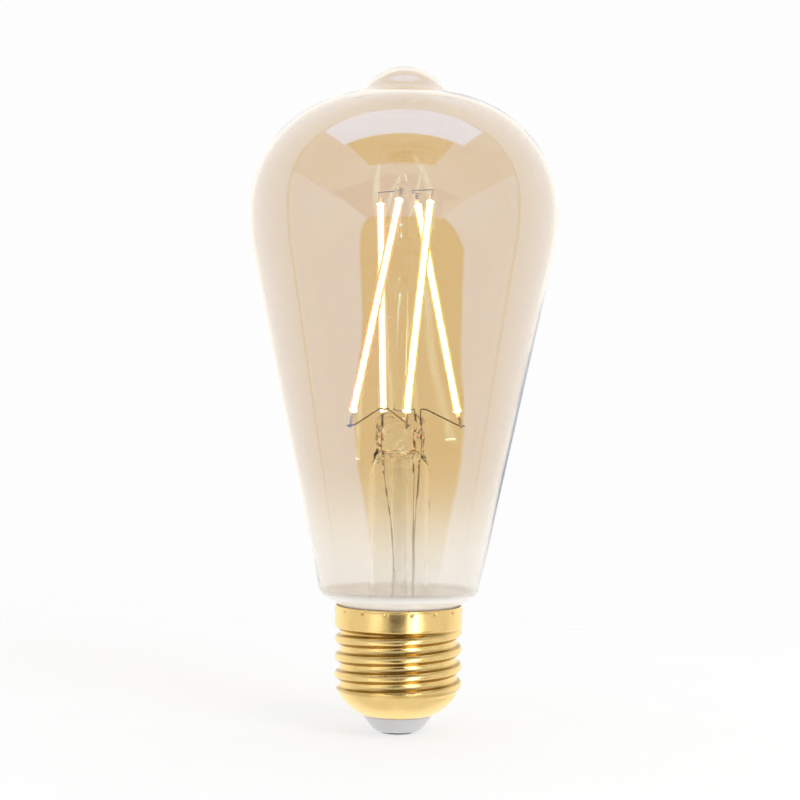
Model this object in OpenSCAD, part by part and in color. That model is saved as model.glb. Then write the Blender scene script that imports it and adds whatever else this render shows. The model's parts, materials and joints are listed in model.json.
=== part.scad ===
// Smart filament lamp: a pear-shaped glass envelope on an Edison screw cap,
// four LED filaments on a glass stem, and a radio-controlled driver in the cap.
// Millimetres. The origin is the centre of the contact face, and +Z runs up the lamp axis.

/* [Glass envelope] */
// Overall height, contact face to glass tip
lamp_h = 137.8; // [136:0.2:139]
// Widest glass diameter
glass_d = 64; // [62:0.5:66]
// Height of the widest point
belly_z = 107.5; // [106:0.5:109]
// Angle between the lower cone and the axis
taper = 11.9; // [11:0.1:12.5]
// Thickness of the envelope wall
glass_wall = 0.8; // [0.6:0.1:1]

/* [Glass stem] */
// Outside diameter of the flare tube
stem_d = 12.6; // [12:0.1:13]
// Wall of the flare tube
stem_wall = 1; // [0.8:0.1:1.1]
// Width of the flattened pinch seal
pinch_w = 9.8; // [9.6:0.1:10.4]
// Thickness of the flattened pinch seal
pinch_t = 3.8; // [3.4:0.1:4.4]
// Height of the top of the pinch seal
pinch_top_z = 66.5; // [66:0.1:66.6]
// Diameter of the glass support post
post_d = 2.4; // [2:0.1:2.6]

/* [Filaments] */
// Height at which the lit length starts
lit_low_z = 66.4; // [66:0.1:67]
// Height at which the lit length ends
lit_high_z = 109.9; // [109:0.1:110.2]
// Radius of the circle that the filament feet stand on
foot_r = 12.1; // [12:0.1:12.4]
// Radius of the circle that the filament heads hang from
head_r = 6; // [5.8:0.1:6.4]
// Diameter of the phosphor coating
coat_d = 1.8; // [1.6:0.1:1.9]
// Number of LED chips on a filament
chip_count = 24; // [18:1:28]

/* [Screw cap] */
// Largest diameter over the thread and the collar
thread_d = 26.4; // [26.1:0.05:26.45]
// Height of the cap's rim
rim_z = 26.4; // [26.2:0.1:26.5]
// Height at which the thread runs out into the collar
collar_z = 22.2; // [22:0.1:22.4]
// Sheet thickness of the shell
shell_t = 0.3; // [0.25:0.05:0.35]
// Number of crimp marks under the rim
crimp_count = 16; // [12:1:20]

/* [Driver] */
// Diameter of the round power board
board_d = 21.2; // [20.8:0.1:21.6]
// Height of the power board's top face
board_z = 10; // [9.9:0.05:10.1]
// Thickness of both circuit boards
board_t = 0.8; // [0.6:0.1:1]
// Diameter of the lead wires
lead_d = 0.4; // [0.35:0.05:0.45]

/* [Hidden] */
FILAMENTS = ["a", "b", "c", "d"];
$fn = 64;

// Finest gap left between two solids that are only assembled, not fused
slack = 0.05;

// Glass outline
belly_r = glass_d / 2;
cone_arc_r = 45;      // blend between the cone and the widest point
dome_arc_r = 24.4;    // meridian of the dome
tip_r = 10;           // round top of the tip
tip_fillet_r = 8;     // hollow between the tip and the dome
shoulder_r = 3.2;     // blend at the foot of the cone
shoulder_z = 30;
shoulder_lean = 62;   // lean of the glass above the rim, from the axis
neck_r = 12.3;
neck_fillet_r = 1.2;
seal_r = 10.2;        // where the envelope is fused to the flare
seal_z = 17.6;
throat_r = 11.2;      // where the neck starts to draw in to the seal
throat_z = 20.4;
neck_low_z = 22.9;

// Stem
flare_arc_r = 7.4;
flare_start_z = 24;
flare_turn = 54;
bead_h = 0.8;         // bead of fused glass under the seal
pinch_base_z = 54;
pinch_slab_z = 58.8;
cavity_top_z = 58.6;
exhaust_d = 3.6;
exhaust_bore = 2.4;
exhaust_tip_z = 15.2;
exhaust_cone_h = 0.8; // sealed tip under the bore
exhaust_cone_d = 1.2;
button_d = 3.8;
button_z = 112.2;
post_top_z = 111;
post_foot_d = 3.4;    // the post widens where it is fused to the pinch
post_foot_h = 1.5;

solder_z = board_z - board_t - 0.4;   // where the leads end, under the power board

// Lead wires through the pinch: [x, y]
COMMON_AT = [-3.6, 0];
BRANCH_AT = COMMON_AT + [lead_d + 0.01, 0];   // beside the common lead, welded to it
WARM_AT = [4.2, -0.5];
COOL_AT = [3, 0.5];
seal_wire_low_z = 57.4;
seal_wire_high_z = 63.4;
branch_low_z = pinch_top_z + 0.05;
arm_z = 67.1;         // height at which the inner leads bend outwards
weld_z = 63.2;        // height of the welds at the filament feet
link_z = 112.2;       // height of the links at the filament heads

// Filament positions: angle of each foot and head round the axis
FOOT_ANGLE = [107.3, -142.5, -84.3, 7.3];
HEAD_ANGLE = [144.8, -98.6, -23.6, 60];
substrate_w = 0.8;
substrate_t = 0.4;
chip_w = 0.4;
chip_t = 0.15;
tab_w = 0.6;
tab_t = 0.2;
tab_overlap = 1;      // length of substrate left bare of coating at each end
tab_weld = 0.9;       // length of tab under the bare substrate
chip_l = 1;

// Cap
pitch = 3.629;
thread_arc_r = 1.025;
thread_depth = 2 * (thread_arc_r - sqrt(pow(thread_arc_r, 2) - pow(pitch / 4, 2)));
thread_mid_r = thread_d / 2 - thread_depth / 2;
thread_phase = 65.4;  // turns the helix about the axis
thread_sides = 36;
thread_rows = 48;
collar_blend = 1.1;   // height over which the thread runs out
cup_arc_r = 11;       // outline of the shell below the thread
cup_arc_c = [2.84, 13.82];
cup_low_z = 3.9;
cup_high_z = 7.8;     // below this the shell is plain
cup_blend_z = 10.8;   // below this the thread stays within the cup's outline
cup_rows = 6;
cup_lip = 0.25;       // the shell's sheet is turned in at the bottom
rim_chamfer = 0.12;
rim_chamfer_h = 0.25;
lap = 0.3;            // height shared by the rolled and the plain stretches of the shell
lap_inset = 0.08;
crimp_r = 0.45;
crimp_deep = 0.16;
crimp_drop = 0.75;    // crimp centres below the rim
cement_low_r = 10.55;
cement_low_z = 18.3;
cement_high_z = 26;
contact_r = 3.5;
contact_chamfer = 0.3;
contact_h = 0.9;
shank_r = 0.95;
shank_top_z = 7.6;
liner_r = 11.3;
liner_t = 0.3;
liner_low_z = 8.2;
liner_high_z = 16.4;

// Radio board: stands on the power board and narrows to a tongue that carries the antenna
radio_y = -3;
radio_front_y = radio_y - board_t / 2;
radio_back_y = radio_y + board_t / 2;
radio_low_w = 14.6;
radio_tongue_w = 6.8;
radio_tongue_z = 17;
radio_top_z = 25;

// Parts on the two boards: where each stands, and its size
CAPACITOR_AT = [-4.2, 6.3, board_z + 2.85];
capacitor_d = 5.6;
capacitor_l = 8;
bung_d = 4.8;
bung_l = 0.8;
CHOKE_AT = [-6.7, 1.4, board_z];
choke_d = 5;
choke_flange_h = 0.9;
choke_post_d = 2;
choke_h = 5.2;
winding_d = 4.2;
BRIDGE_AT = [6.8, 1.2, board_z];
BRIDGE_SIZE = [3.8, 4.6, 1.5];
BRIDGE_LEG = [0.6, 0.6, 0.8];
FUSE_AT = [2.4, 3.6, 7.9];
fuse_d = 1.9;
fuse_l = 4.4;
CHIP_SIZE = [3.8, 1.3, 4.4];
MOSFET_SIZE = [2.8, 1, 1.4];
MODULE_SIZE = [7, 1.8, 5.8];
CRYSTAL_SIZE = [2, 0.8, 1.6];
RESISTOR_SIZE = [1.6, 0.8, 0.4];
CERAMIC_SIZE = [0.9, 1.6, 0.7];
PIN_SIZE = [0.5, 0.6, 2.2];
pin_step = 1.27;
ANTENNA_AT = [-0.9, radio_y - 0.7, 24];
antenna_l = 10.2;
antenna_d = 0.25;
sleeve_d = 0.55;
sleeve_l = 8.8;

module glass() color([0.86, 0.66, 0.36, 0.4]) children();
module clear_glass() color([0.86, 0.87, 0.84, 0.45]) children();
module nickel() color("silver") children();
module copper() color([0.80, 0.42, 0.24]) children();
module plastic(c) color(c) children();

// ---------------------------------------------------------------- functions

function unit(v) = v / norm(v);
function mix(a, b, t) = a + (b - a) * t;
function smooth(t) = let (u = max(0, min(1, t))) u * u * (3 - 2 * u);
function polar(r, a) = [r * cos(a), r * sin(a)];
function at_z(p, z) = [p[0], p[1], z];

// Points on an arc, angles in degrees
function arc(c, r, a0, a1, n) = [for (i = [0:n]) c + polar(r, mix(a0, a1, i / n))];

// The same arc seen from its hollow side: a point lies opposite its normal
function hollow(c, r, a0, a1, n) = [for (i = [0:n]) c - polar(r, mix(a0, a1, i / n))];

// Centre of the circle that touches two others from outside, on the far side from the axis
function touching(ca, ra, cb, rb) =
    let (d = norm(cb - ca), u = (cb - ca) / d)
    let (along = (ra * ra - rb * rb + d * d) / (2 * d), off = sqrt(ra * ra - along * along))
    ca + along * u + off * [-u[1], u[0]];

// Meridian of the envelope, moved inwards by t: bottom to top, as [radius, height]
function envelope_line(t) =
    let (cone_c = [belly_r - cone_arc_r, belly_z])
    let (dome_c = [belly_r - dome_arc_r, belly_z])
    let (tip_c = [0, lamp_h - tip_r])
    let (hollow_c = touching(tip_c, tip_r + tip_fillet_r, dome_c, dome_arc_r + tip_fillet_r))
    let (to_dome = hollow_c - dome_c, to_tip = hollow_c - tip_c)
    let (dome_turn = atan2(to_dome[1], to_dome[0]), tip_turn = atan2(to_tip[1], to_tip[0]))
    let (cone_end = cone_c + polar(cone_arc_r, -taper))
    let (cone_foot = [cone_end[0] - (cone_end[1] - shoulder_z) * tan(taper), shoulder_z])
    let (shoulder_c = cone_foot - polar(shoulder_r, -taper))
    let (shoulder_end = shoulder_c + polar(shoulder_r, -shoulder_lean))
    let (rise = neck_fillet_r * (1 - cos(shoulder_lean)))
    let (run = (shoulder_end[0] - neck_r - rise) / sin(shoulder_lean))
    let (fillet_z = shoulder_end[1] - run * cos(shoulder_lean) - neck_fillet_r * sin(shoulder_lean))
    concat(
        [[seal_r - t, seal_z], [throat_r - t, throat_z], [neck_r - t, neck_low_z]],
        hollow([neck_r + neck_fillet_r, fillet_z], neck_fillet_r + t, 0, -shoulder_lean, 5),
        arc(shoulder_c, shoulder_r - t, -shoulder_lean, -taper, 7),
        arc(cone_c, cone_arc_r - t, -taper, 0, 5),
        [for (i = [1:20]) dome_c + polar(dome_arc_r - t, dome_turn * i / 20)],
        [for (i = [1:8]) hollow_c - polar(tip_fillet_r + t, mix(dome_turn, tip_turn, i / 8))],
        [for (i = [1:9]) tip_c + polar(tip_r - t, mix(tip_turn, 90, i / 9))]
    );

// A path with each inner corner eased by a short curve of reach r
function eased(p, r, steps = 3) = concat(
    [p[0]],
    [for (i = [1:len(p) - 2], k = [0:steps])
        let (a = p[i] + unit(p[i - 1] - p[i]) * r, b = p[i] + unit(p[i + 1] - p[i]) * r, t = k / steps)
        mix(mix(a, p[i], t), mix(p[i], b, t), t)],
    [p[len(p) - 1]]
);

function tangent(p, i) = unit(p[min(i + 1, len(p) - 1)] - p[max(i - 1, 0)]);

// Two vectors square to the path at each point, carried along without twist
function frames(p, i = 0, side = [0.6, 0.8, 0]) =
    i >= len(p) ? [] :
    let (t = tangent(p, i), m = unit(side - (side * t) * t))
    concat([[m, cross(t, m)]], frames(p, i + 1, m));

// Where filament i's axis passes height z
function filament_point(i, z) =
    let (foot = at_z(polar(foot_r, FOOT_ANGLE[i]), lit_low_z))
    let (head = at_z(polar(head_r, HEAD_ANGLE[i]), lit_high_z))
    mix(foot, head, (z - lit_low_z) / (lit_high_z - lit_low_z));

// Height of the thread profile above its mean radius, u pitches from a crest
function thread_rise(u) =
    let (x = abs(u - round(u)) * pitch, near = min(x, pitch / 2 - x))
    let (h = thread_depth / 2 - thread_arc_r + sqrt(pow(thread_arc_r, 2) - near * near))
    x <= pitch / 4 ? h : -h;

// Outer radius of the shell below the thread
function cup_radius(z, inset = 0) =
    cup_arc_c[0] + sqrt(pow(cup_arc_r - inset, 2) - pow(z - cup_arc_c[1], 2));

// Outer radius of the shell at angle a and height z
function shell_radius(a, z) =
    let (thread = thread_mid_r + thread_rise(z / pitch - (a - thread_phase) / 360))
    let (rolled = mix(thread, thread_d / 2, smooth((z - collar_z + collar_blend) / collar_blend)))
    z > cup_blend_z ? rolled : min(rolled, cup_radius(z));

// ---------------------------------------------------------------- helpers

// Round wire along a path
module wire(p, d = lead_d, sides = 8) {
    f = frames(p);
    last = len(p) - 1;
    points = [for (i = [0:last], k = [0:sides - 1])
        p[i] + d / 2 * (cos(360 * k / sides) * f[i][0] + sin(360 * k / sides) * f[i][1])];
    walls = [for (i = [0:last - 1], k = [0:sides - 1])
        let (a = i * sides + k, b = i * sides + (k + 1) % sides) [a, a + sides, b + sides, b]];
    ends = [[for (k = [0:sides - 1]) k], [for (k = [sides - 1:-1:0]) last * sides + k]];
    polyhedron(points, concat(walls, ends));
}

// Box by its centre in x and y and its bottom in z
module block(at, size) {
    translate([at[0] - size[0] / 2, at[1] - size[1] / 2, at[2]])
        cube(size);
}

// Puts a child, drawn along +Z from the origin, on filament i from height z up
module on_filament(i, z) {
    from = filament_point(i, z);
    along = filament_point(i, z + 1) - from;
    translate(from)
        rotate([0, acos(along[2] / norm(along)), atan2(along[1], along[0])])
            children();
}

// Length along a filament between two heights
function filament_run(i, z0, z1) = norm(filament_point(i, z1) - filament_point(i, z0));

// ---------------------------------------------------------------- glass

module glass_envelope() {
    outer = envelope_line(0);
    inner = envelope_line(glass_wall);
    glass() rotate_extrude($fn = 128)
        polygon(concat(outer, [for (i = [len(inner) - 1:-1:0]) inner[i]]));
}

module stem_flare() {
    r = stem_d / 2;
    c = [r + flare_arc_r, flare_start_z];
    outside = hollow(c, flare_arc_r, 0, flare_turn, 8);
    inside = hollow(c, flare_arc_r + stem_wall, flare_turn - 4, 0, 8);
    clear_glass() rotate_extrude()
        polygon(concat(
            [[r, pinch_base_z]], outside,
            [[seal_r - glass_wall, seal_z], [seal_r, seal_z], [seal_r, seal_z - bead_h]],
            inside, [[r - stem_wall, pinch_base_z]]
        ));
}

module pinch_slab(w, t, low, high) {
    for (x = [-1, 1])
        translate([x * (w - t) / 2, 0, low]) cylinder(d = t, h = high - low, $fn = 24);
}

module pinch_seal() {
    clear_glass() difference() {
        hull() {
            translate([0, 0, pinch_base_z]) cylinder(d = stem_d, h = 0.6, $fn = 32);
            pinch_slab(pinch_w, pinch_t, pinch_slab_z, pinch_top_z);
        }
        hull() {
            translate([0, 0, pinch_base_z - 1])
                cylinder(d = stem_d - 2 * stem_wall, h = 1.5, $fn = 32);
            pinch_slab(pinch_w - 1.8, pinch_t - 1.2, cavity_top_z - 0.5, cavity_top_z);
        }
        translate([0, 0, pinch_base_z - 2]) cylinder(d = exhaust_d, h = cavity_top_z - pinch_base_z + 3);
        for (at = [COMMON_AT, WARM_AT, COOL_AT])
            translate(at_z(at, seal_wire_low_z - 1)) cylinder(d = lead_d, h = 12);
    }
}

module exhaust_tube() {
    clear_glass() difference() {
        union() {
            translate([0, 0, exhaust_tip_z]) cylinder(d = exhaust_d, h = cavity_top_z + 1 - exhaust_tip_z);
            translate([0, 0, exhaust_tip_z - exhaust_cone_h])
                cylinder(d1 = exhaust_cone_d, d2 = exhaust_d, h = exhaust_cone_h);
        }
        translate([0, 0, exhaust_tip_z]) cylinder(d = exhaust_bore, h = cavity_top_z + 2 - exhaust_tip_z);
    }
}

module support_post() {
    clear_glass() {
        translate([0, 0, pinch_top_z]) cylinder(d = post_d, h = post_top_z - pinch_top_z);
        translate([0, 0, pinch_top_z]) cylinder(d1 = post_foot_d, d2 = post_d, h = post_foot_h);
    }
}

module post_button() {
    clear_glass() difference() {
        translate([0, 0, button_z]) sphere(d = button_d);
        translate([0, 0, button_z - button_d]) cylinder(d = 2 * button_d, h = post_top_z - button_z + button_d);
        for (side = [0, 1]) wire(link_path(side), lead_d);
    }
}

// ---------------------------------------------------------------- filaments

module filament_substrate(i) {
    low = lit_low_z - tab_overlap;
    color("ivory") on_filament(i, low)
        block([0, 0, 0], [substrate_w, substrate_t, filament_run(i, low, lit_high_z + tab_overlap)]);
}

module filament_chips(i) {
    run = filament_run(i, lit_low_z, lit_high_z);
    step = run / chip_count;
    color("goldenrod") on_filament(i, lit_low_z)
        for (k = [0:chip_count - 1])
            block([0, (substrate_t + chip_t) / 2, (k + 0.5) * step - chip_l / 2], [chip_w, chip_t, chip_l]);
}

module filament_coating(i) {
    run = filament_run(i, lit_low_z, lit_high_z);
    color("gold") on_filament(i, lit_low_z) difference() {
        cylinder(d = coat_d, h = run);
        block([0, 0, -1], [substrate_w, substrate_t, run + 2]);
        block([0, substrate_t / 2, 0.1], [chip_w, 2 * chip_t, run - 0.2]);
    }
}

// A flat metal leg under each end of the substrate, out to its weld
module filament_tabs(i) {
    nickel() for (end = [0, 1]) {
        z0 = end ? lit_high_z + tab_overlap - tab_weld : weld_z;
        z1 = end ? link_z - lead_d / 2 : lit_low_z - tab_overlap + tab_weld;
        on_filament(i, z0)
            block([0, -(substrate_t + tab_t) / 2, 0], [tab_w, tab_t, filament_run(i, z0, z1)]);
    }
}

// ---------------------------------------------------------------- wires

COMMON_OUTER = [[-1.35, -2.1, solder_z], [-1.35, -2.1, 24], [-1.1, -2.2, 36], [-1.7, -1.6, 44],
    [-3.1, -0.6, 52.5], at_z(COMMON_AT, 56.4), at_z(COMMON_AT, seal_wire_low_z)];
WARM_OUTER = [[3, -1.2, solder_z], [3, -1.2, 26], [3.1, -1.1, 40], [3.5, -0.9, 48],
    at_z(WARM_AT, 55.8), at_z(WARM_AT, seal_wire_low_z)];
COOL_OUTER = [[2.8, 1.4, solder_z], [2.8, 1.4, 26], [3, 1.2, 42], at_z(COOL_AT, 55.6),
    at_z(COOL_AT, seal_wire_low_z)];

// Horizontal direction in which filament i leans, foot to head
function lean(i) = unit(polar(head_r, HEAD_ANGLE[i]) - polar(foot_r, FOOT_ANGLE[i]));

// Middle of the weld at a filament's foot, with the wire on the tab's flat face
function foot_weld(i) =
    let (off = substrate_t / 2 + tab_t + lead_d / 2 + 0.01)
    filament_point(i, weld_z + 0.35) + off * [lean(i)[1], -lean(i)[0], 0];

// An inner lead: up from height low, over a bend, down to foot i and across its tab
function inner_path(at, i, mid, low = seal_wire_high_z) =
    let (top = at_z(at, arm_z), weld = foot_weld(i), across = at_z(lean(i), 0))
    let (near = weld + 0.9 * across + [0, 0, 0.25])
    eased([at_z(at, low), top, mix(top, near, mid) + [0, 0, 0.4], near,
        weld - 0.9 * across], 0.35);

// A head link: one wire from a filament's head, through the button, to its partner's head
function head_end(i) = at_z(polar(head_r + 0.15, HEAD_ANGLE[i]), link_z);
function link_path(side) =
    let (a = side ? head_end(2) : head_end(1), b = side ? head_end(3) : head_end(0))
    let (mid = [side ? 0.65 : -0.65, 0, link_z])
    eased([a + 0.8 * unit(a - mid), mid + 1.2 * unit(a - mid), mid + 1.2 * unit(b - mid),
        b + 0.8 * unit(b - mid)], 0.6);

module seal_wire(at) {
    copper() translate(at_z(at, seal_wire_low_z))
        cylinder(d = lead_d, h = seal_wire_high_z - seal_wire_low_z, $fn = 24);
}

// ---------------------------------------------------------------- cap

// The rolled stretch of the shell, as a grid over angle and height
module rolled_thread() {
    n = thread_sides;
    low = cup_high_z - lap;
    high = collar_z + lap;
    step = (high - low) / thread_rows;
    inset = [for (j = [0:thread_rows]) let (z = low + j * step)
        z < cup_high_z + step || z > collar_z - step ? lap_inset : 0];
    outside = [for (j = [0:thread_rows], k = [0:n - 1]) let (z = low + j * step, a = 360 * k / n)
        at_z(polar(shell_radius(a, z) - inset[j], a), z)];
    inside = [for (j = [0:thread_rows], k = [0:n - 1]) let (z = low + j * step, a = 360 * k / n)
        at_z(polar(shell_radius(a, z) - shell_t + inset[j], a), z)];
    lift = len(outside);
    top = thread_rows * n;
    walls = [for (j = [0:thread_rows - 1], k = [0:n - 1])
        let (a = j * n + k, b = j * n + (k + 1) % n)
        each [[a, a + n, b + n], [a, b + n, b],
            [lift + a, lift + b + n, lift + a + n], [lift + a, lift + b, lift + b + n]]];
    rims = [for (k = [0:n - 1]) let (a = k, b = (k + 1) % n)
        each [[a, b, lift + b], [a, lift + b, lift + a],
            [top + b, top + a, lift + top + a], [top + b, lift + top + a, lift + top + b]]];
    polyhedron(concat(outside, inside), concat(walls, rims));
}

module screw_shell() {
    r = thread_d / 2;
    cup = [for (i = [0:cup_rows]) mix(cup_low_z, cup_high_z, i / cup_rows)];
    cup_inside = [for (i = [cup_rows:-1:0]) max(cup[i], cup_low_z + cup_lip)];
    color([0.90, 0.72, 0.38]) difference() {
        union() {
            rolled_thread();
            rotate_extrude() polygon([
                [r - shell_t, collar_z], [r, collar_z], [r, rim_z - rim_chamfer_h],
                [r - rim_chamfer, rim_z], [r - shell_t, rim_z]
            ]);
            rotate_extrude() polygon(concat(
                [for (z = cup) [cup_radius(z), z]],
                [for (z = cup_inside) [cup_radius(z, shell_t), z]]
            ));
        }
        for (k = [0:crimp_count - 1])
            rotate([0, 0, 360 * (k + 0.5) / crimp_count - 90])
                translate([r + crimp_r - crimp_deep, 0, rim_z - crimp_drop]) sphere(r = crimp_r, $fn = 24);
    }
}

// Moulded cone through the bottom of the shell, with a groove that the shell's edge sits in
module cap_insulator() {
    plastic([0.86, 0.86, 0.86]) rotate_extrude() polygon(concat(
        [[contact_r + slack, contact_h], [contact_r + slack, 0.3], [3.8, 0.25], [4.4, 0.4], [5, 0.8]],
        [[5.5, 1.35], [7.35, 3.8], [7.1, 3.9], [7.1, 4.3], [8.9, 5.7], [8.9, 6.6], [7.5, 6.6]],
        [[7.5, 5.2], [6.6, 4.4], [3, 4.4], [3, 7.1], [shank_r + slack, 7.1]],
        [[shank_r + slack, contact_h]]
    ));
}

module centre_contact() {
    nickel() {
        rotate_extrude() polygon([
            [0, 0], [contact_r - contact_chamfer, 0], [contact_r, contact_chamfer], [contact_r, contact_h],
            [0, contact_h]
        ]);
        translate([0, 0, contact_h / 2]) cylinder(r = shank_r, h = shank_top_z - contact_h / 2);
    }
}

// Cured cement between the glass neck and the shell
module cap_cement() {
    r = thread_d / 2 - shell_t - slack;
    root_r = r - thread_depth;
    plastic([0.90, 0.88, 0.82]) rotate_extrude() polygon([
        [cement_low_r, cement_low_z], [root_r, cement_low_z + 0.3], [root_r, collar_z - 1],
        [r, collar_z + 0.2], [r, cement_high_z], [neck_r + slack, cement_high_z - 0.4],
        [neck_r + slack, neck_low_z], [throat_r + slack, throat_z]
    ]);
}

// Thin sleeve with a ledge inside that the power board rests on
module insulating_liner() {
    bore_r = liner_r - liner_t;
    ledge_r = board_d / 2 - 0.6;
    ledge_z = board_z - board_t;
    plastic([0.94, 0.94, 0.90]) rotate_extrude() polygon([
        [bore_r, liner_high_z], [bore_r, ledge_z], [ledge_r, ledge_z], [ledge_r, ledge_z - 0.5],
        [bore_r, liner_low_z], [liner_r, liner_low_z], [liner_r, liner_high_z]
    ]);
}

// ---------------------------------------------------------------- driver

module power_board() {
    plastic([0.10, 0.38, 0.20]) difference() {
        translate([0, 0, board_z - board_t]) cylinder(d = board_d, h = board_t);
        for (path = [COMMON_OUTER, WARM_OUTER, COOL_OUTER])
            translate([path[0][0], path[0][1], 5]) cylinder(d = lead_d, h = 10, $fn = 24);
    }
}

module radio_board() {
    plastic([0.08, 0.30, 0.18]) {
        block([0, radio_y, board_z], [radio_low_w, board_t, radio_tongue_z - board_z]);
        block([0, radio_y, radio_tongue_z - 0.1], [radio_tongue_w, board_t, radio_top_z - radio_tongue_z + 0.1]);
    }
}

module board_pins() {
    color("gold") for (k = [-2:2])
        block([4.4 + k * pin_step, radio_back_y + 0.35, board_z], PIN_SIZE);
}

module bulk_capacitor() {
    plastic([0.12, 0.13, 0.20]) translate(CAPACITOR_AT)
        rotate([0, 90, 0]) cylinder(d = capacitor_d, h = capacitor_l);
}

module capacitor_bung() {
    plastic([0.15, 0.15, 0.15]) translate(CAPACITOR_AT + [capacitor_l, 0, 0])
        rotate([0, 90, 0]) cylinder(d = bung_d, h = bung_l);
}

module choke_core() {
    color("dimgray") translate(CHOKE_AT) {
        cylinder(d = choke_d, h = choke_flange_h);
        cylinder(d = choke_post_d, h = choke_h);
        translate([0, 0, choke_h - choke_flange_h]) cylinder(d = choke_d, h = choke_flange_h);
    }
}

module choke_winding() {
    h = choke_h - 2 * choke_flange_h - 2 * slack;
    copper() translate(CHOKE_AT + [0, 0, choke_flange_h + slack]) difference() {
        cylinder(d = winding_d, h = h);
        translate([0, 0, -1]) cylinder(d = choke_post_d + 2 * slack, h = h + 2);
    }
}

module bridge_rectifier() {
    plastic([0.12, 0.12, 0.12]) block(BRIDGE_AT + [0, 0, 0.1], BRIDGE_SIZE);
    nickel() for (x = [-1, 1], y = [-1, 1])
        block(BRIDGE_AT + [x * pin_step, y * (BRIDGE_SIZE[1] + BRIDGE_LEG[1]) / 2, 0], BRIDGE_LEG);
}

module fuse_resistor() {
    plastic([0.30, 0.55, 0.42]) translate(FUSE_AT) rotate([0, 90, 0]) cylinder(d = fuse_d, h = fuse_l);
}

module driver_chip() {
    plastic([0.10, 0.10, 0.11]) block([-4.9, radio_back_y + CHIP_SIZE[1] / 2, 11.4], CHIP_SIZE);
}

module channel_mosfets() {
    plastic([0.10, 0.10, 0.11]) for (z = [12.8, 15])
        block([5, radio_back_y + MOSFET_SIZE[1] / 2, z], MOSFET_SIZE);
}

module radio_module() {
    color("lightgray") block([0, radio_front_y - MODULE_SIZE[1] / 2, 10.8], MODULE_SIZE);
}

module crystal() {
    color("silver") block([5.2, radio_front_y - CRYSTAL_SIZE[1] / 2, 12], CRYSTAL_SIZE);
}

// On the underside of the power board, in an arc
module chip_resistors() {
    plastic([0.15, 0.15, 0.15]) for (k = [0:5])
        block(at_z(polar(8.4, -20 - 24 * k), board_z - board_t - RESISTOR_SIZE[2]), RESISTOR_SIZE);
}

module chip_capacitors() {
    plastic([0.70, 0.55, 0.38]) for (k = [0:3])
        block([-5.4 + 1.6 * k, -3.4 + 0.2 * k, board_z - board_t - CERAMIC_SIZE[2]], CERAMIC_SIZE);
}

module antenna_wire() {
    copper() translate(ANTENNA_AT) cylinder(d = antenna_d, h = antenna_l, $fn = 24);
}

module antenna_sleeve() {
    plastic([0.96, 0.96, 0.94]) translate(ANTENNA_AT + [0, 0, 1]) difference() {
        cylinder(d = sleeve_d, h = sleeve_l, $fn = 24);
        translate([0, 0, -1]) cylinder(d = antenna_d + 0.02, h = sleeve_l + 2, $fn = 24);
    }
}

// From the contact's shank to the fusible resistor
module live_wire() {
    copper() wire(eased([[0, 0, shank_top_z], [0, 0, 8.3], [0.6, 3.6, 8.1], [1.3, 3.6, 7.9], FUSE_AT], 0.25));
}

// Folded over the liner, against the inside of the shell
module neutral_wire() {
    neutral_d = 0.4;
    gap_r = liner_r + 0.26;
    over_z = liner_high_z + 0.4;
    turn = 150;
    copper() wire(eased([at_z(polar(9.6, turn), board_z), at_z(polar(9.6, turn), over_z - 1.3),
        at_z(polar(10.4, turn), over_z), at_z(polar(gap_r, turn), over_z), at_z(polar(gap_r, turn), 11.5)],
        0.35), neutral_d);
}

// ---------------------------------------------------------------- assembly

glass_envelope();
stem_flare();
pinch_seal();
exhaust_tube();
support_post();
post_button();
for (i = [0:len(FILAMENTS) - 1]) {
    name = str("filament_", FILAMENTS[i]);
    filament_substrate(i);
    filament_chips(i);
    filament_coating(i);
    filament_tabs(i);
}
copper() wire(eased(COMMON_OUTER, 0.6));  // common_outer_lead
copper() wire(eased(WARM_OUTER, 0.6));  // warm_outer_lead
copper() wire(eased(COOL_OUTER, 0.6));  // cool_outer_lead
seal_wire(COMMON_AT);  // common_seal_wire
seal_wire(WARM_AT);  // warm_seal_wire
seal_wire(COOL_AT);  // cool_seal_wire
nickel() wire(inner_path(COMMON_AT, 1, 0.1));  // common_inner_lead
nickel() wire(inner_path(BRANCH_AT, 2, 0.1, branch_low_z));  // common_branch_wire
nickel() wire(inner_path(WARM_AT, 3, 0.15));  // warm_inner_lead
nickel() wire(inner_path(COOL_AT, 0, 0.35));  // cool_inner_lead
nickel() wire(link_path(0));  // left_head_link
nickel() wire(link_path(1));  // right_head_link
screw_shell();
cap_insulator();
centre_contact();
cap_cement();
insulating_liner();
power_board();
radio_board();
board_pins();
bulk_capacitor();
capacitor_bung();
choke_core();
choke_winding();
bridge_rectifier();
fuse_resistor();
driver_chip();
channel_mosfets();
radio_module();
crystal();
chip_resistors();
chip_capacitors();
antenna_wire();
antenna_sleeve();
live_wire();
neutral_wire();
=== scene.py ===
import json
import math

import bmesh
import bpy
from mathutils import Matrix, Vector, noise


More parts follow.
